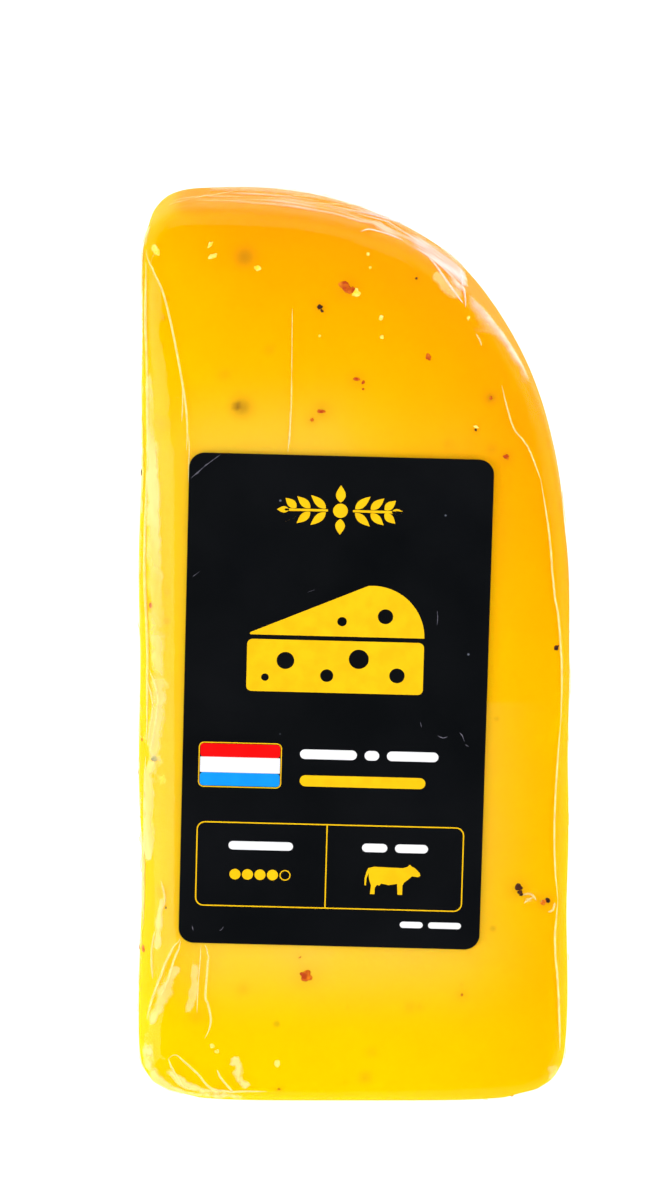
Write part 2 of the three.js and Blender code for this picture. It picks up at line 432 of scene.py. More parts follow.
streaks = clouds(np.column_stack((across * 0.12, up * 0.5, depth * 0.9)), 1.0, 4)
bubbles = clouds(np.column_stack((across, 0.08 * up, 0.2 * depth)), 1.0, 8)
middle_edge = (0.62 + 0.5 * streaks) * (1 - eased(depth, *EDGE_DEPTH)) + 0.7 * eased(bubbles, 0.15, 0.6)
# Painted reflection: a pale band down the middle cut's outer edge stands for the film's mirror there.
middle_cut_glare = eased(turned, 0.5, 0.8) * eased(-facing[:, 0], 0.6, 0.9) * middle_edge
loose_and_glare = np.maximum(loose_and_glare, middle_cut_glare * 0.9) * (0.3 + 0.7 * bag_free)
for cling in CLINGS:
    loose_and_glare *= 1 - nearness(bag_points, drawn(cling), CLING_WIDTH * MM)
painted(bag, "loose_and_glare", np.clip(loose_and_glare, 0, 1))

# %% [markdown]
# On the rind the film hangs like a bridge from the front face's edge to the back's, and all of it is hazy.
# That haze is partly the film's own and partly a painted reflection of the white studio. It is softer and
# rosier than the patches, so it is an attribute of its own. It ends at a long crease and thins out on the
# way down.

# %% Painting the haze and painted reflection on the rind
RIND_GLARE_DABS = [
    ([(8.3, 113.2, 9), (11.5, 111.4, 6), (13.4, 109.6, 3), (14.0, 108.9, 2)], 1.5),
    ([(14.6, 108.4, 2.2), (17.5, 104.6, 2.8), (20.4, 99.9, 3.6), (22.0, 96.5, 4)], 1.9),
    ([(19.0, 102.6, 4), (22.7, 94.6, 5), (25.4, 87.4, 6), (27.0, 80.0, 7)], 1.0),
]
RIND_FACES = (math.sin(0.6), math.cos(0.6), 0)
RIND_SETS_IN = (66, 90)  # mm up the face
LONG_CREASE = (14.2, 15.2)  # mm across

toward_rind = facing @ np.array(RIND_FACES)
rind_band = eased(depth, 2.5, 8) * eased(turned, 0.3, 0.7) * eased(toward_rind, 0.25, 0.6)
rind_band *= eased(up, *RIND_SETS_IN)
haze_and_glare = 0.55 + 0.55 * streaks + 0.7 * eased(across, 6, 11) - 0.45 * eased(-across, 14, 24)
# Painted reflection of the white studio, over the film's own haze on the rind.
rosy_glare = rind_band * (1 - eased(across, *LONG_CREASE)) * haze_and_glare
for stops, width in RIND_GLARE_DABS:
    rosy_glare = np.maximum(rosy_glare, nearness(bag_points, drawn(stops), width * MM))
rosy_glare *= 1 - 0.8 * eased(across, 14.8, 15.6) * eased(depth, 11, 14)
rosy_glare *= 1 - 0.55 * eased(depth, 14, 19)
painted(bag, "rosy_glare", np.clip(rosy_glare, 0, 1))

# %% [markdown]
# ## Creases in the film
#
# A crease is a doubled edge of film, thin as a hair and much brighter than the film round it. That bright
# line is a painted highlight: the crease's finish is partly a pale colour that stands for the light it
# catches. Painting it on the bag would blur it, so each one is a thin tube with pointed ends, laid along a
# line of places and half sunk in the bag's skin. Those on the rind's shoulder are tinted rosy, like the
# haze and painted reflection round them.

# %% Creases
HAIR = 0.07  # half the width of a wrinkle's crease, mm
skin = surface(bag, bag_points)


def meshed(name, curve):
    """A curve turned into a piece with a mesh."""
    piece = bpy.data.objects.new(name, curve)
    bpy.context.scene.collection.objects.link(piece)
    only(piece)
    bpy.ops.object.convert(target="MESH")
    return bpy.context.active_object


def strands(name, lines):
    """One mesh of thin tubes with pointed ends. Each line is its points and its half width in mm."""
    data = bpy.data.curves.new(name, "CURVE")
    data.dimensions = "3D"
    data.bevel_depth = 1 * MM
    data.bevel_resolution = 1
    data.use_fill_caps = True
    for points, half_width in lines:
        spline = data.splines.new("POLY")
        spline.points.add(len(points) - 1)
        for i, point in enumerate(points):
            at_end = min(i, len(points) - 1 - i) / (len(points) - 1)
            spline.points[i].co = (*point, 1)
            spline.points[i].radius = half_width * (0.15 + 0.85 * min(1, 5 * at_end))
    return meshed(name, data)


def on_the_skin(line, sunk):
    """The same line laid on the bag's skin, this many mm below it."""
    laid = []
    for point in line:
        spot, normal = skin.find_nearest(Vector(point))[:2]
        laid.append(np.array(spot - normal * sunk * MM))
    return np.array(laid)


CREASES = [
    (LEFT_RIDGE, 0.13),
    ([(-21.9, 97.5), (-21.9, 95), (-22.1, 92.5)], 0.08),
    ([(-21.2, 91), (-21.1, 88.8), (-21.2, 84.5)], 0.07),
    ([(-7.8, 107.6), (-7.85, 103), (-7.9, 98.1)], 0.05),
    ([(-7.9, 98.8), (-8.0, 93.5), (-8.4, 88.6)], 0.09),
    ([(-8.1, 94), (-8.1, 91.5), (-8.2, 89.5)], 0.08),
    ([(-26.7, 113.3, 1.3), (-26.9, 104.3, 1.8), (-26.7, 94.8, 2.6), (-26.7, 86.7, 3.2)], 0.16),
    ([(-26.7, 88, 3.2), (-26.8, 73.4, 3.1), (-26.6, 62.7, 2.6), (-26.8, 49.2, 2.8)], 0.18),
    ([(-26.9, 47, 2.9), (-27.4, 35.4, 3.5), (-27.8, 23, 4.0)], 0.13),
    ([(-26.4, 58.8, 2.2), (-25.3, 55, 1.2), (-26.4, 47.3, 2.1)], 0.15),
    ([(-26.7, 57.5, 2.6), (-26.0, 54, 1.8), (-26.7, 48.5, 2.6)], 0.1),
    (RIGHT_RIDGE[:5], 0.1),
    (RIGHT_RIDGE[4:10], 0.12),
    (RIGHT_RIDGE[9:14], 0.11),
    (RIGHT_RIDGE[13:], 0.13),
    ([(-19.8, 22.2), (-20, 19.6), (-20.3, 15.7), (-20.4, 12.8)], 0.07),
    ([(9.8, 113, 6), (11.2, 112, 2.5), (12.7, 110.1, 1.2), (14.2, 108.1, 0.8)], 0.16),
    ([(14.1, 108.7, 17), (14.1, 109.5, 4.6), (14.5, 107.6, 0.7)], 0.18),
    ([(1, 117.2, 1.8), (2.4, 116.9, 4), (4.2, 116.2, 6), (6.5, 114.9, 7)], 0.1),
    ([(15.8, 104.2), (16.3, 103.3), (16.5, 102.6)], 0.1),
    ([(22.2, 28.9), (23.2, 28.9), (24.0, 28.2)], 0.16),
    ([(22.4, 27.8), (22.9, 28.3), (23.6, 28.5)], 0.12),
    ([(25.5, 26.6), (26.2, 26.9), (26.4, 27.8)], 0.14),
    ([(-25.1, 30.6, 1), (-24.6, 28, 0.6), (-25.4, 26.3, 1)], 0.12),
    ([(-26.0, 23.5, 1.5), (-26.4, 20.5, 1.8), (-26.1, 17, 1.6)], 0.12),
]
CREASES += [(pleat, 0.14) for pleat in LOOSE_PLEATS]
crease_lines = [(on_the_skin(drawn(stops), 0.35 * width), width) for stops, width in CREASES]
crease_lines += [(on_the_skin(line[2:-2], 0.04), HAIR) for line in wrinkles[::2]]
creases = strands("bag_creases", crease_lines)
told(creases)
across, up, depth = ruled(points_of(creases))
# The shoulder's creases take the rosy tint of the painted reflection round them.
on_the_shoulder = eased(across, -2, 3) * (1 - eased(across, 14.6, 16)) * eased(up, 100, 108)
painted(creases, "rosy_glare", on_the_shoulder)

# %% [markdown]
# ## Truffle in the cheese
#
# Chopped black truffle is stirred into the curd. At a cut face some bits are sliced open and show dark and
# crisp, others lie just under the surface and show as soft brown stains. The crisp ones are small uneven
# stones pressed flat into the surface. The stains are painted on the cheese and its material turns them
# brown.

# %% Truffle bits
cheese_skin = surface(cheese, cheese_points)
crumbs = np.random.default_rng(7)
HIDDEN_BITS = 70


def crumb(spot, normal, size, stretch, name):
    """One uneven bit pressed into the surface at a spot: truffle, and the pale flecks of painted glint.
    Sizes in mm.
    """
    bpy.ops.object.select_all(action="DESELECT")
    bpy.ops.mesh.primitive_ico_sphere_add(subdivisions=2 if size < 0.35 else 3, radius=size * MM)
    bit = bpy.context.active_object
    bit.name = name
    points = points_of(bit)
    points *= (1 + 0.6 * clouds(points, 0.8 * size * MM, crumbs.uniform(1, 90)))[:, None]
    points *= np.array((1, stretch, min(0.6, 0.16 / size)))
    moved_to(bit, points)
    lay = normal.to_track_quat("Z", "Y").to_matrix() @ Matrix.Rotation(crumbs.uniform(0, math.tau), 3, "Z")
    bit.data.transform(Matrix.Translation(spot - normal * 0.02 * MM) @ lay.to_4x4())
    return bit


def joined(pieces, name):
    """Joins pieces into one."""
    only(pieces[0])
    for piece in pieces:
        piece.select_set(True)
    bpy.ops.object.join()
    pieces[0].name = name
    return pieces[0]


def crumbs_at(spots, name):
    """Bits at these places on the front, truffle and painted glint flecks: across, up, size and stretch."""
    bits = []
    for x, v, size, stretch in spots:
        spot, normal = cheese_skin.find_nearest(place(x, v, 0.3))[:2]
        bits.append(crumb(spot, normal, size, stretch, name))
    return bits


BLACK_CRUMBS = [
    (-4.3, 107.7, 0.42, 0.7), (-4.0, 107.2, 0.25, 0.8), (8.1, 111.4, 0.18, 1), (15.8, 91.5, 0.17, 1),
    (26.6, 62.2, 0.38, 0.9), (-27.3, 47.0, 0.42, 1.2), (21.5, 30.0, 0.6, 1.3), (21.9, 29.2, 0.4, 1),
    (25.4, 28.0, 0.42, 0.8), (-24.6, 27, 0.15, 1),
]
RED_CRUMBS = [
    (-1.0, 110.4, 0.75, 0.8), (-0.3, 109.9, 0.6, 0.7), (0.4, 98.1, 0.5, 0.45), (1.3, 97.7, 0.3, 0.6),
    (-4.1, 93.9, 0.5, 0.5), (-5.3, 92.8, 0.24, 1), (-6.1, 17.8, 0.72, 1.15), (-28.2, 67.5, 0.34, 1),
    (25.0, 27.8, 0.45, 0.8), (-6.9, 20.4, 0.2, 0.5), (14.3, 15.3, 0.2, 0.6), (-9.7, 2.2, 0.2, 0.8),
    (1.3, 96.8, 0.2, 0.8), (17.7, 95.7, 0.25, 1), (9.7, 101.1, 0.42, 0.9), (19.8, 87.9, 0.36, 0.8),
]

# Painted glints: small pale flecks pressed into the surface stand for bright glints of light on the cheese.
GLINT_FLECKS = [
    (-25.4, 115.1, 0.75, 0.55), (-18.3, 115.9, 0.42, 0.6), (-18.0, 114.4, 0.34, 1.9),
    (0.4, 109.6, 0.5, 1), (-12.3, 112.8, 0.36, 1.2), (3.6, 106.3, 0.42, 0.6), (3.7, 103.8, 0.26, 1),
    (15.8, 91.9, 0.34, 0.5), (1.9, 114.6, 0.26, 0.8), (2.2, 112.9, 0.2, 1), (-25.1, 44.3, 0.4, 1.5),
    (-9.9, 5.7, 0.5, 0.8), (-18.4, 8.2, 0.34, 1), (-17.8, 7.4, 0.3, 1), (-4.3, 103.9, 0.2, 1),
    (14.9, 106.2, 0.2, 1.6),
]

hidden_crumbs = {"truffle_black": [], "truffle_red": []}
for i in range(HIDDEN_BITS):
    face = walls.choice(["back", "middle_cut", "tip"], p=[0.7, 0.2, 0.1])
    v = walls.uniform(3, 112)
    thick = (AXIS_SETBACK / MM + v) * math.sin(CUT_ANGLE)
    guess = {
        "back": place(walls.uniform(-25, 20), v, thick + 2),
        "middle_cut": place(-30, v, thick * walls.uniform(0.15, 0.85)),
        "tip": place(walls.uniform(-22, 22), -3, walls.uniform(1, 6)),
    }[str(face)]
    spot, normal = cheese_skin.find_nearest(guess)[:2]
    kind = "truffle_black" if i % 2 else "truffle_red"
    hidden_crumbs[kind].append(crumb(spot, normal, walls.uniform(0.15, 0.5), walls.uniform(0.6, 1), kind))

black_bits = crumbs_at(BLACK_CRUMBS, "truffle_black") + hidden_crumbs["truffle_black"]
black_truffle = joined(black_bits, "truffle_black")
red_bits = crumbs_at(RED_CRUMBS, "truffle_red") + hidden_crumbs["truffle_red"]
red_truffle = joined(red_bits, "truffle_red")
glint_flecks = joined(crumbs_at(GLINT_FLECKS, "glint_flecks"), "glint_flecks")
for bits in (black_truffle, red_truffle, glint_flecks):
    told(bits)

# %% [markdown]
# ## Colour in the cheese
#
# Towards the rind the cheese has dried and is deep orange. In the middle and at the tip it is bright
# yellow. That runs through the whole wheel, so it is worked out from the place alone: how near a point is
# to the wheel's flat face and to its rind. Four attributes carry it all: the ripeness, the rind itself, the
# truffle's stains, and a painted glare next to the label: a pale patch that stands for the film's glare
# there and lightens the shade at the label's edges.

# %% Painting the cheese
STAINS = [
    (-13.9, 114.3, 1.2, 0.5), (-14.3, 94.5, 1.2, 0.6), (-14.8, 94.6, 0.75, 1.0), (-0.8, 110, 1.5, 0.18),
    (-4.3, 107.7, 0.9, 0.18), (0.4, 98.1, 1.1, 0.18), (-4.1, 93.9, 1.2, 0.24), (-5.3, 92.8, 0.8, 0.24),
    (15.8, 91.5, 0.5, 0.18), (19.8, 87.9, 0.8, 0.21), (8.1, 111.4, 0.5, 0.15), (17.7, 95.7, 0.7, 0.45),
    (17.9, 88.9, 0.7, 0.21), (-10.7, 102.1, 0.6, 0.18), (-16.5, 98.8, 0.7, 0.18),
    (-24.9, 91.9, 0.9, 0.15), (-6.1, 17.8, 1.6, 0.18), (-7, 20.4, 0.6, 0.15), (-14.4, 16, 0.8, 0.18),
    (14.3, 15.3, 0.7, 0.18), (8.8, 13.6, 0.6, 0.15), (7.5, 13.6, 0.7, 0.18), (2.5, 7.3, 0.7, 0.15),
    (1.6, 3.9, 0.8, 0.24), (-9.7, 2.2, 0.6, 0.18), (-17.6, 1.4, 0.9, 0.21), (-26.8, 67.1, 0.9, 0.24),
    (21.5, 29.8, 1.4, 0.21), (25.3, 27.9, 1.2, 0.21), (-20.5, 12.3, 0.9, 0.18), (-25.2, 29, 0.9, 0.18),
    (12.2, 89.6, 0.5, 0.18),
]
LABEL_AT = (-2.3, 55.05)
LABEL_SIZE = (39.3, 66.0)
RIPENING = 2.6  # how steeply the colour deepens
FACE_STARTS, FACE_RUN = -19.1, 47  # mm across: where it begins to deepen, and how far it goes on
RIND_STARTS, RIND_RUN = 62.1, 57.5  # mm up, the same
ON_THE_FRONT = 4  # mm below the front, at most

across, up, depth = ruled(cheese_points)
toward_face = (np.maximum(across - FACE_STARTS, 0) / FACE_RUN) ** RIPENING * (0.4 + 0.6 * eased(up, 40, 100))
toward_rind = (np.maximum(up - RIND_STARTS, 0) / RIND_RUN) ** RIPENING * (1 - 0.45 * eased(-across, 12, 27))
mottle = 0.05 * clouds(cheese_points, 12 * MM, 5) + 0.03 * clouds(cheese_points, 5 * MM, 6)
ripeness = 0.12 + 0.8 * (toward_face + toward_rind) + mottle - 0.12 * eased(-up, -22, -2)
painted(cheese, "ripeness", np.clip(ripeness, 0, 1))

cheese_facing = normals_of(cheese)
cheese_turned = 1 - cheese_facing @ np.array(FRONT_NORMAL)
outward = cheese_facing @ np.array((math.sin(0.8), math.cos(0.8), 0))
rind = eased(cheese_turned, 0.3, 0.85) * (1 - eased(cheese_turned, 1.6, 1.9)) * eased(outward, 0.3, 0.6)
painted(cheese, "rind", rind * eased(up, 30, 80) * (0.85 + 4 * mottle))

stain = np.zeros(len(cheese_points))
for x, v, radius, strength in STAINS:
    away = np.hypot(across - x, up - v) + 2.4 * radius * mottle
    stain = np.maximum(stain, strength * np.exp(-((away / radius) ** 2)) * (depth < ON_THE_FRONT))
painted(cheese, "stain", stain)

# Painted glare: a pale patch round the label, strongest below it, stands for the film's glare there and
# lightens the label's shade.
beside = np.maximum(np.abs(across - LABEL_AT[0]) - 0.5 * LABEL_SIZE[0] + 6, 0)
above = np.maximum(np.abs(up - LABEL_AT[1]) - 0.5 * LABEL_SIZE[1], 0)
painted_glare = np.exp(-((above / 6) ** 2) - (beside / 7) ** 2) * (depth < ON_THE_FRONT) * (0.8 + 5 * mottle)
painted_glare *= np.where(up < 55, 1, eased(-across, -8, 6) * 0.7 + 0.15)
painted(cheese, "painted_glare", np.clip(painted_glare, 0, 1))

# %% [markdown]
# ## Print on the label
#
# The label is a black paper card with gold and white print. The names and the words on it are a maker's
# own, so they aren't drawn: a sprig stands for the badge, a wedge of cheese for the title, and rounded bars
# for lines of text. Each ink is one stencil of flat outlines, filled and given a hair of thickness.
# Outlines are drawn in whole millimetres, made a mesh, and only then shrunk and laid on the card, because a
# fill at full scale is exact.

# %% Outlines for the print
LABEL_TILT = math.radians(-1.5)
INK = 0.012  # half an ink's thickness, mm
card = np.array([v.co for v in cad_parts["front_label"].data.vertices])
LABEL_TOP = -float(ruled(card)[2].min())  # mm above the bag's front
print("label's top above the film, mm:", round(LABEL_TOP, 2))


def arc(x, y, radius, start, step=15, count=7):
    """Points round a centre, so many degrees apart: a quarter turn, unless told otherwise."""
    turns = [math.radians(start + step * i) for i in range(count)]
    return [(x + radius * math.cos(t), y + radius * math.sin(t)) for t in turns]


def disc(x, y, radius):
    """A circle's outline."""
    return arc(x, y, radius, 0, 360 / 28, 28)


def bar(left, low, right, high, rounding=None):
    """A rectangle's outline with rounded corners."""
    r = min(right - left, high - low) / 2 if rounding is None else rounding
    outline = []
    for x, y, start in ((right - r, high - r, 0), (left + r, high - r, 90), (left + r, low + r, 180)):
        outline += arc(x, y, r, start)
    return outline + arc(right - r, low + r, r, 270)


def frame_of(left, low, right, high, rounding, line):
    """The two outlines of a drawn rounded box."""
    inner = bar(left + line, low + line, right - line, high - line, max(rounding - line, 0.05))
    return [bar(left, low, right, high, rounding), inner]


def leaf(x, y, length, width, turn):
    """A pointed leaf that grows from a place."""
    outline = []
    for i in range(21):
        t = i / 20
        outline.append((t * length, width * math.sin(math.pi * t ** 0.8)))
    outline += [(px, -py) for px, py in outline[-2:0:-1]]
    c, s = math.cos(math.radians(turn)), math.sin(math.radians(turn))
    return [(x + px * c - py * s, y + px * s + py * c) for px, py in outline]


def stencil(name, outlines):
    """Fills outlines, gives them a hair of thickness and lays them on the label."""
    data = bpy.data.curves.new(name, "CURVE")
    data.dimensions = "2D"
    data.fill_mode = "BOTH"
    data.extrude = INK
    for outline in outlines:
        spline = data.splines.new("POLY")
        spline.points.add(len(outline) - 1)
        for point, (x, y) in zip(spline.points, outline):
            point.co = (x, y, 0, 1)
        spline.use_cyclic_u = True
    piece = meshed(name, data)
    right = Vector((1, 0, 0)) * math.cos(LABEL_TILT) + UP_THE_FACE * math.sin(LABEL_TILT)
    top = FRONT_NORMAL.cross(right)
    corner = place(*LABEL_AT, -LABEL_TOP)
    piece.data.transform(Matrix.Scale(MM, 4))
    turn = Matrix((right, top, FRONT_NORMAL)).transposed().to_4x4()
    piece.data.transform(Matrix.Translation(corner) @ turn)
    told(piece)
    return piece


# %% [markdown]
# The pictures are simple outlines: a sprig of leaves, a wedge of cheese with its holes, and a cow seen from
# the side. A hole is an outline inside another, which the fill leaves open.

# %% The stencils
sprig = [disc(0, 25.8, 0.95), bar(-7.2, 25.65, -1.6, 25.95), bar(1.6, 25.65, 7.2, 25.95)]
for side in (1, -1):
    for reach, length in ((1.9, 2.6), (3.9, 2.3), (5.7, 1.9)):
        for lift in (1, -1):
            turn = 42 * lift if side > 0 else 180 - 42 * lift
            sprig.append(leaf(side * reach, 25.8 + 0.25 * lift, length, 0.52, turn))
    sprig.append(leaf(side * 6.6, 25.8, 1.6, 0.42, 0 if side > 0 else 180))
sprig += [leaf(0, 26.9, 2.3, 0.62, 90), leaf(0, 24.7, 2.1, 0.62, -90)]

wedge_side = bar(-11.6, 1.4, 11.3, 8.4, 0.7)
wedge_top = [(-11.2, 9.3), (-11.3, 9.1), (-11.1, 9.0), (11.3, 9.0)]
turns = [math.radians(degrees) for degrees in range(5, 96, 5)]
wedge_top += [(4.5 + 6.8 * math.cos(t), 9.0 + 6.9 * math.sin(t)) for t in turns]
cheese_mark = [wedge_side, wedge_top, disc(-6.6, 5.6, 1.15), disc(-1.2, 3.7, 0.85), disc(2.9, 6.0, 1.3)]
cheese_mark += [disc(7.9, 3.9, 1.0), disc(6.2, 11.8, 1.0), disc(0.6, 11.0, 0.62), disc(-9.2, 3.3, 0.5)]

COW = [
    (0.3, 3.2), (0.5, 3.6), (1.2, 3.8), (5.0, 3.7), (5.6, 3.9), (5.9, 4.2), (6.2, 3.9), (6.5, 3.8),
    (7.2, 3.1), (7.3, 2.7), (7.0, 2.5), (6.2, 2.6), (5.7, 2.1), (5.2, 1.7), (5.0, 1.3), (5.0, 0.0),
    (4.4, 0.0), (4.3, 1.5), (3.2, 1.3), (2.2, 1.5), (2.0, 1.2), (1.7, 1.3), (1.4, 0.9), (1.4, 0.0),
    (0.8, 0.0), (0.9, 1.2), (0.6, 2.2), (0.55, 2.9), (0.3, 2.2), (0.25, 1.2), (0.05, 1.2), (0.05, 2.2),
]
cow = [(4.4 + x, -25.7 + 0.98 * y) for x, y in COW]

gold = sprig + cheese_mark + [cow]
gold += frame_of(-17.6, -27.85, 17.25, -16.35, 1.1, 0.16)
gold += [bar(-0.7, -27.68, -0.54, -16.52, 0.02)]
gold += frame_of(-17.55, -11.7, -6.75, -5.6, 0.7, 0.13)
gold += [bar(-4.35, -11.3, 12.0, -9.8)]
gold += [disc(x, -23.45, 0.72) for x in (-12.46, -10.83, -9.2, -7.57, -5.94)] + [disc(-5.94, -23.45, 0.58)]
white_bars = [(-4.4, 3.0), (4.0, 5.9), (6.9, 13.6)]
white = [bar(left, -7.6, right, -6.3) for left, right in white_bars]
white += [bar(-13.4, -20.1, -5.0, -18.95), bar(4.0, -20.0, 7.3, -18.85), bar(8.3, -20.0, 12.6, -18.85)]
white += [bar(9.2, -30.2, 12.2, -29.35), bar(12.9, -30.2, 17.2, -29.35)]
white += [bar(-17.34, -9.68, -6.96, -7.62, 0.02)]
red = [bar(-17.34, -7.6, -6.96, -5.81, 0.45)]
blue = [bar(-17.34, -11.49, -6.96, -9.7, 0.45)]

gold_print = stencil("gold_print", gold)
white_print = stencil("white_print", white)
red_print = stencil("red_print", red)
blue_print = stencil("blue_print", blue)

# %% [markdown]
# A card under film gets scuffed: one corner has been bent back and has a pale crack, and there are a few
# rubbed streaks. They are hair-thin strands laid on the card.

# %% Scuffs on the label
SCUFFS = [
    ([(-19.4, 29.6), (-17.6, 31.3), (-15.6, 32.9)], 0.045),
    ([(-18.7, 30.1), (-17.4, 31.6)], 0.03),
    ([(12.85, 12.8), (12.95, 11.8), (12.9, 10.8)], 0.05),
    ([(11.1, -2.2), (11.3, -3.0)], 0.05),
    ([(13.4, -4.0), (14.1, -4.3), (14.7, -4.1)], 0.06),
    ([(16.2, -3.5), (16.6, -3.9), (16.9, -4.7)], 0.05),
    ([(17.0, -5.1), (17.5, -5.4)], 0.04),
    ([(-18.9, 16.5), (-18.0, 17.2)], 0.025),
    ([(-17.9, -30.6), (-17.7, -31.4)], 0.04),
    ([(-14.3, -31.2), (-14.0, -31.0), (-13.8, -30.6)], 0.035),
    ([(-4.0, 14.8), (-3.0, 15.2)], 0.02),
]


def on_the_label(x, y):
    """The place on the pack of a point of the label."""
    c, s = math.cos(LABEL_TILT), math.sin(LABEL_TILT)
    return (LABEL_AT[0] + x * c - y * s, LABEL_AT[1] + x * s + y * c, -LABEL_TOP)


scuff_lines = [(drawn([on_the_label(*stop) for stop in stops]), half_width) for stops, half_width in SCUFFS]
scuffs = strands("label_scuffs", scuff_lines)
told(scuffs)

# %% [markdown]
# ## Materials: the cheese
#
# Cheese lets light in a little way and gives it back, which makes its edges glow. That is subsurface
# scattering, with red light going deepest. The ripeness attribute goes through a colour ramp, the rind, the
# painted glare by the label and the stains are mixed over it, and a sparse pattern of cells puts in the
# finest crumbs. It has no gloss of its own, because the film above gives the shine.


# %% Cheese
def material(name):
    """A new material with its node tree."""
    finish = bpy.data.materials.new(name)
    finish.use_nodes = True
    return finish, finish.node_tree.nodes["Principled BSDF"]


def node(finish, kind, **settings):
    """Adds a node to a material or a world. Settings are its own values, and inputs go by name."""
    made = finish.node_tree.nodes.new(kind)
    for key, value in settings.items():
        name = key.replace("_", " ").title()
        if name in made.inputs:
            made.inputs[name].default_value = value
        else:
            setattr(made, key, value)
    return made


def wire(finish, start, end):
    """Joins an output to an input."""
    finish.node_tree.links.new(start, end)


def attribute(finish, name):
    """Reads a painted attribute."""
    return node(finish, "ShaderNodeAttribute", attribute_name=name).outputs["Fac"]


def ramp(finish, value, stops):
    """A colour ramp with these stops."""
    made = node(finish, "ShaderNodeValToRGB")
    while len(made.color_ramp.elements) < len(stops):
        made.color_ramp.elements.new(0.5)
    for element, (position, colour) in zip(made.color_ramp.elements, stops):
        element.position = position
        element.color = (*colour, 1)
    wire(finish, value, made.inputs["Fac"])
    return made.outputs["Color"]


def blended(finish, share, first, second):
    """Mixes a colour into another, by a share that is an output."""
    made = node(finish, "ShaderNodeMix", data_type="RGBA")
    wire(finish, share, made.inputs[0])
    for value, socket in ((first, made.inputs[6]), (second, made.inputs[7])):
        if isinstance(value, tuple):
            socket.default_value = (*value, 1)
        else:
            wire(finish, value, socket)
    return made.outputs[2]


def ranged(finish, value, low, high, to_low=0.0, to_high=1.0):
    """Maps a range of an output to another range, held at its ends."""
    made = node(finish, "ShaderNodeMapRange", from_min=low, from_max=high, to_min=to_low, to_max=to_high)
    wire(finish, value, made.inputs["Value"])
    return made.outputs[0]


def worked(finish, operation, first, second):
    """One sum on an output and an output or a number."""
    made = node(finish, "ShaderNodeMath", operation=operation)
    wire(finish, first, made.inputs[0])
    if isinstance(second, (int, float)):
        made.inputs[1].default_value = second
    else:
        wire(finish, second, made.inputs[1])
    return made.outputs[0]


def grain(finish, scale, detail, stretch=(1, 1, 1)):
    """Noise in the piece's own space, so many to the metre."""
    where = node(finish, "ShaderNodeTexCoord")
    shape = node(finish, "ShaderNodeMapping")
    shape.inputs["Scale"].default_value = stretch
    made = node(finish, "ShaderNodeTexNoise", scale=scale, detail=detail)
    wire(finish, where.outputs["Object"], shape.inputs["Vector"])
    wire(finish, shape.outputs[0], made.inputs["Vector"])
    return made.outputs["Fac"]


def polished(shader, roughness, mirror):
    """How rough a surface is, and how much it mirrors."""
    shader.inputs["Roughness"].default_value = roughness
    shader.inputs["Specular IOR Level"].default_value = mirror


def bumped(finish, shader, height, distance):
    """Puts a bump of this depth, in mm, on the shader."""
    bump = node(finish, "ShaderNodeBump")
    bump.inputs["Distance"].default_value = distance * MM
    wire(finish, height, bump.inputs["Height"])
    wire(finish, bump.outputs[0], shader.inputs["Normal"])


def scattered(finish, scale, fade, strength, rarity):
    """Small dots in a few cells of a pattern, so many cells to the metre."""
    cells = node(finish, "ShaderNodeTexVoronoi", scale=scale)
    wire(finish, node(finish, "ShaderNodeTexCoord").outputs["Object"], cells.inputs["Vector"])
    pick = node(finish, "ShaderNodeSeparateColor")
    wire(finish, cells.outputs["Color"], pick.inputs[0])
    dots = ranged(finish, cells.outputs["Distance"], *fade, strength, 0.0)
    return worked(finish, "MULTIPLY", dots, ranged(finish, pick.outputs[0], *rarity))


gouda, gouda_shader = material("gouda")
RIPE_COLOURS = [
    (0.0, (0.97, 0.62, 0.0)),
    (0.14, (0.97, 0.56, 0.0)),
    (0.36, (0.97, 0.48, 0.0)),
    (0.7, (0.97, 0.385, 0.0)),
    (1.0, (0.96, 0.33, 0.002)),
]
ripe = ramp(gouda, attribute(gouda, "ripeness"), RIPE_COLOURS)
ripe = blended(gouda, attribute(gouda, "rind"), ripe, (0.92, 0.27, 0.0))
# The painted glare by the label pales the cheese's colour here.
curd_and_glare = blended(gouda, worked(gouda, "MULTIPLY", attribute(gouda, "painted_glare"), 0.22), ripe, (0.97, 0.72, 0.22))
specks = scattered(gouda, 210.0, (0.05, 0.13), 0.3, (0.8, 0.85))
dark = worked(gouda, "MAXIMUM", attribute(gouda, "stain"), specks)
wire(gouda, blended(gouda, dark, curd_and_glare, (0.30, 0.13, 0.012)), gouda_shader.inputs["Base Color"])
polished(gouda_shader, 0.55, 0.0)
gouda_shader.inputs["Subsurface Weight"].default_value = 0.35
gouda_shader.inputs["Subsurface Radius"].default_value = (1.0, 0.45, 0.1)
gouda_shader.inputs["Subsurface Scale"].default_value = 2.5 * MM
bumped(gouda, gouda_shader, grain(gouda, 900, 4), 0.05)

# Painted glint: the pale flecks' colour stands for small bright glints of light.
painted_glint, glint_shader = material("painted_glint")
glint_core = ranged(painted_glint, grain(painted_glint, 1200, 2), 0.35, 0.65)
glint_colour = blended(painted_glint, glint_core, (0.98, 0.70, 0.03), (1.0, 0.86, 0.22))
wire(painted_glint, glint_colour, glint_shader.inputs["Base Color"])
polished(glint_shader, 0.5, 0.08)
print("gouda colours:", len(RIPE_COLOURS))

# %% [markdown]
# Truffle is nearly black, with brown veins. The redder bits are skin and cooked mushroom.

# %% Truffle


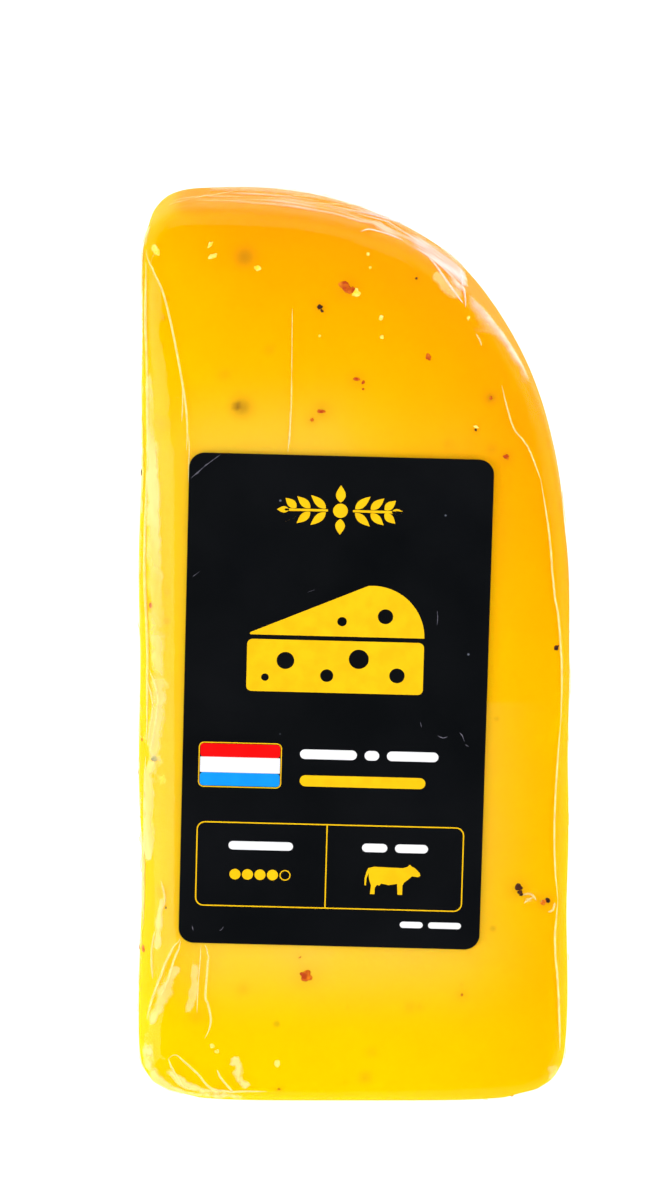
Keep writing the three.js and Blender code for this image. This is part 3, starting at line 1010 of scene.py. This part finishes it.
def earthy(name, dark, light, scale):
    """A rough crumb with a veined colour."""
    finish, shader = material(name)
    veins = ranged(finish, grain(finish, scale, 4), 0.4, 0.65)
    wire(finish, blended(finish, veins, dark, light), shader.inputs["Base Color"])
    polished(shader, 0.6, 0.25)
    bumped(finish, shader, grain(finish, 3 * scale, 3), 0.06)
    return finish


black_flesh = earthy("truffle_black_flesh", (0.02, 0.006, 0.004), (0.12, 0.03, 0.008), 1400)
red_flesh = earthy("truffle_red_flesh", (0.5, 0.05, 0.001), (0.85, 0.24, 0.004), 1100)
print("truffle finishes: 2")

# %% [markdown]
# ## Materials: the film
#
# Clear film mostly lets light straight through, and mirrors more of it the flatter one looks along it.
# Layer Weight's facing value is the same on both sides of a skin, so its fifth power gives that mirror
# share here. Where the painted attributes say that the film stands off or is hazy, part of it is a pale
# diffuse instead, partly the film's milkiness and partly painted reflection, and the rosy attribute tints
# it. On the creases that pale part is a painted highlight. Fine noise on the attribute of the standing-off
# film gives the patches their ragged edges.

# %% Film


def mixed(finish, share, first, second):
    """Mixes two shaders, by a share of the second that is an output."""
    made = node(finish, "ShaderNodeMixShader")
    for number, part in enumerate((share, first, second)):
        wire(finish, part, made.inputs[number])
    return made.outputs[0]


MIRRORED = (0.014, 0.1)  # the mirror's share, seen flat on and seen edge on


def film_material(name, gloss, milk_and_glare_colours, milk_and_glare_share):
    """Clear film, with milk and painted glare in one colour or two that rosy mixes; the last argument builds
    their share.
    """
    finish, plain = material(name)
    finish.node_tree.nodes.remove(plain)
    clear = node(finish, "ShaderNodeBsdfTransparent")
    mirror = node(finish, "ShaderNodeBsdfGlossy", roughness=gloss)
    facing_away = node(finish, "ShaderNodeLayerWeight", blend=0.5).outputs["Facing"]
    share = ranged(finish, worked(finish, "POWER", facing_away, 5.0), 0.0, 1.0, *MIRRORED)
    shine = mixed(finish, share, clear.outputs[0], mirror.outputs[0])
    # A pale diffuse: the film's own milkiness, and painted reflection and highlight where the film catches
    # light.
    milk_and_glare = node(finish, "ShaderNodeBsdfDiffuse")
    if len(milk_and_glare_colours) == 2:
        wire(finish, blended(finish, attribute(finish, "rosy_glare"), *milk_and_glare_colours), milk_and_glare.inputs["Color"])
    else:
        milk_and_glare.inputs["Color"].default_value = (*milk_and_glare_colours, 1)
    whole = mixed(finish, milk_and_glare_share(finish), shine, milk_and_glare.outputs[0])
    wire(finish, whole, finish.node_tree.nodes["Material Output"].inputs["Surface"])
    return finish


def loose_share(finish):
    """Ragged pale patches of slack film and a soft streaky veil on the rind, both partly painted reflection.
    """
    ruffle = ranged(finish, grain(finish, 560, 4), 0.3, 0.7, -0.28, 0.22)
    ragged = worked(finish, "ADD", attribute(finish, "loose_and_glare"), ruffle)
    streaky = ranged(finish, grain(finish, 160, 3, (1, 0.35, 1)), 0.35, 0.65, 0.16, 0.56)
    patches = worked(finish, "MULTIPLY", ranged(finish, ragged, 0.38, 0.66), streaky)
    drifts = ranged(finish, grain(finish, 330, 3, (0.22, 1, 0.5)), 0.38, 0.62, -0.2, 0.2)
    rind_haze_and_glare = ranged(finish, worked(finish, "ADD", attribute(finish, "rosy_glare"), drifts), 0.28, 1.1, 0.0, 0.74)
    return worked(finish, "MAXIMUM", patches, rind_haze_and_glare)


def crease_share(finish):
    """A painted highlight: evenly pale, a little more here and there."""
    return ranged(finish, grain(finish, 700, 2), 0.3, 0.7, 0.3, 0.6)


def weld_share(finish):
    """Milky lines where the sealing bar's ribs pressed the film."""
    where = node(finish, "ShaderNodeTexCoord")
    ribs = node(finish, "ShaderNodeTexWave", scale=260.0, distortion=0.4, bands_direction="DIAGONAL")
    wire(finish, where.outputs["Object"], ribs.inputs["Vector"])
    return ranged(finish, ribs.outputs["Fac"], 0.25, 0.75, 0.01, 0.09)


# The clear film's pale part is milk over air and painted reflection, the creases' is a painted highlight,
# and the welds' is milky ribs.
clear_film = film_material("clear_film", 0.05, ((1.0, 0.98, 0.42), (0.97, 0.85, 0.80)), loose_share)
crease_glint_film = film_material("crease_glint_film", 0.3, ((1.0, 0.92, 0.42), (0.98, 0.92, 0.90)), crease_share)
welded_film = film_material("welded_film", 0.1, (0.95, 0.88, 0.80), weld_share)
print("film finishes: 3")

# %% [markdown]
# ## Materials: labels and inks
#
# The front label is black card with a satin varnish. A finger's polish and fine dust keep it from being one
# flat black. The inks are nearly flat, with a little mottle where the press laid them thinner. The back
# label is white paper with grey lines of small print, which a brick pattern gives.

# %% Labels and inks


def printed(name, thin, thick, roughness, scale=500.0):
    """Ink or varnish that varies a little."""
    finish, shader = material(name)
    mottle_here = ranged(finish, grain(finish, scale, 3), 0.35, 0.65)
    wire(finish, blended(finish, mottle_here, thin, thick), shader.inputs["Base Color"])
    polished(shader, roughness, 0.15)
    bumped(finish, shader, grain(finish, 3000, 2), 0.004)
    return finish


gold_ink = printed("gold_ink", (0.88, 0.50, 0.002), (0.93, 0.56, 0.003), 0.5)
white_ink = printed("white_ink", (0.84, 0.84, 0.86), (0.9, 0.9, 0.92), 0.5)
red_ink = printed("red_ink", (0.85, 0.0, 0.0), (0.9, 0.002, 0.002), 0.5)
blue_ink = printed("blue_ink", (0.003, 0.28, 0.84), (0.004, 0.31, 0.88), 0.5)
scuffed_card = printed("scuffed_card", (0.05, 0.05, 0.07), (0.2, 0.19, 0.24), 0.6, 1500.0)

black_card, black_shader = material("black_card")
dust = scattered(black_card, 330.0, (0.03, 0.06), 0.6, (0.86, 0.9))
polish = ranged(black_card, grain(black_card, 60, 3), 0.35, 0.65)
varnish = blended(black_card, polish, (0.002, 0.0026, 0.0034), (0.0034, 0.004, 0.0052))
wire(black_card, blended(black_card, dust, varnish, (0.2, 0.22, 0.28)), black_shader.inputs["Base Color"])
satin = ranged(black_card, grain(black_card, 90, 3), 0.3, 0.7, 0.36, 0.5)
wire(black_card, satin, black_shader.inputs["Roughness"])
black_shader.inputs["Specular IOR Level"].default_value = 0.12
bumped(black_card, black_shader, grain(black_card, 2500, 2), 0.006)

white_paper, paper_shader = material("white_paper")
lines = node(
    white_paper,
    "ShaderNodeTexBrick",
    offset=0.37,
    scale=1.0,
    color1=(0.25, 0.25, 0.26, 1),
    color2=(0.42, 0.42, 0.43, 1),
    mortar=(0.82, 0.82, 0.8, 1),
    mortar_size=1.1 * MM,
    mortar_smooth=0.0,
    brick_width=13 * MM,
    row_height=3.2 * MM,
)
wire(white_paper, node(white_paper, "ShaderNodeTexCoord").outputs["Object"], lines.inputs["Vector"])
wire(white_paper, lines.outputs["Color"], paper_shader.inputs["Base Color"])
paper_shader.inputs["Roughness"].default_value = 0.6
bumped(white_paper, paper_shader, grain(white_paper, 2500, 3), 0.01)
print("label finishes: 7")

# %% [markdown]
# ## Putting it together
#
# Every new piece rides on the pack's one body. The cheese and the bag stand for their CAD solids. The
# labels and the two welded seams keep their CAD shape and only change their finish.

# %% Pieces, finishes and what they replace
PIECES = [
    (cheese, gouda, "cheese"),
    (black_truffle, black_flesh, "cheese"),
    (red_truffle, red_flesh, "cheese"),
    (glint_flecks, painted_glint, "cheese"),
    (bag, clear_film, "clear_film"),
    (creases, crease_glint_film, "clear_film"),
    (gold_print, gold_ink, "dark_label"),
    (white_print, white_ink, "dark_label"),
    (red_print, red_ink, "dark_label"),
    (blue_print, blue_ink, "dark_label"),
    (scuffs, scuffed_card, "dark_label"),
]
SMOOTH = (cheese, bag, creases, scuffs, black_truffle, red_truffle, glint_flecks)
for piece, finish, slot in PIECES:
    piece.data.materials.clear()
    piece.data.materials.append(finish)
    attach(piece, "root")
for piece in SMOOTH:
    only(piece)
    bpy.ops.object.shade_smooth()
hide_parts("cheese_wedge")
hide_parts("shrink_bag")

KEPT = {
    "front_label": black_card,
    "back_label": white_paper,
    "rind_seal": welded_film,
    "tip_seal": welded_film,
}
for name, finish in KEPT.items():
    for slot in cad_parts[name].material_slots:
        slot.material = finish
print("pieces:", len(PIECES), "CAD shapes kept:", len(KEPT))

# %% [markdown]
# ## Table and light
#
# The pack lies on a white table in a white studio. The film's rounded edges mirror two soft boxes, one low
# at the left and a wide one behind, as long pale streaks. Two more only light the cheese: one low at the
# right and a large one above. They are hidden from mirrors, because the film would show them as a pink haze
# and a grey veil. For the same reason the studio is bright near the horizon and dark overhead.

# %% Table and light
bpy.ops.object.select_all(action="DESELECT")
bpy.ops.mesh.primitive_plane_add(size=3.0, location=(0, 0, 0))
table = bpy.context.active_object
table.name = "table"
white_top, top_shader = material("white_table_top")
top_shader.inputs["Base Color"].default_value = (0.92, 0.92, 0.92, 1)
polished(top_shader, 0.9, 0.0)
top_shader.inputs["Emission Color"].default_value = (1, 1, 1, 1)
top_shader.inputs["Emission Strength"].default_value = 0.55
table.data.materials.append(white_top)


def softbox(name, stands_at, size, power, mirrored=True):
    """A flat rectangular light that faces the pack. Film and varnish can mirror it, or not."""
    data = bpy.data.lights.new(name, "AREA")
    data.shape = "RECTANGLE"
    data.size, data.size_y = size
    data.energy = power
    light = bpy.data.objects.new(name, data)
    light.location = stands_at
    light.rotation_euler = Vector(stands_at).to_track_quat("Z", "Y").to_euler()
    light.visible_glossy = mirrored
    bpy.context.scene.collection.objects.link(light)


softbox("left_softbox", (-0.9, -0.35, 0.35), (0.5, 0.95), 5.2)
softbox("right_softbox", (0.9, -0.35, 0.35), (0.5, 0.95), 5.2, mirrored=False)
softbox("rear_softbox", (0.0, 0.9, 0.75), (1.5, 0.8), 5.0)
softbox("top_softbox", (0.0, 0.05, 1.4), (1.0, 1.0), 12.6, mirrored=False)

studio = bpy.data.worlds.new("studio")
bpy.context.scene.world = studio
studio.use_nodes = True
split = node(studio, "ShaderNodeSeparateXYZ")
wire(studio, node(studio, "ShaderNodeTexCoord").outputs["Generated"], split.inputs[0])
brightness = ranged(studio, split.outputs["Z"], 0.25, 0.55, 1.15, 0.0)
wire(studio, brightness, studio.node_tree.nodes["Background"].inputs["Color"])
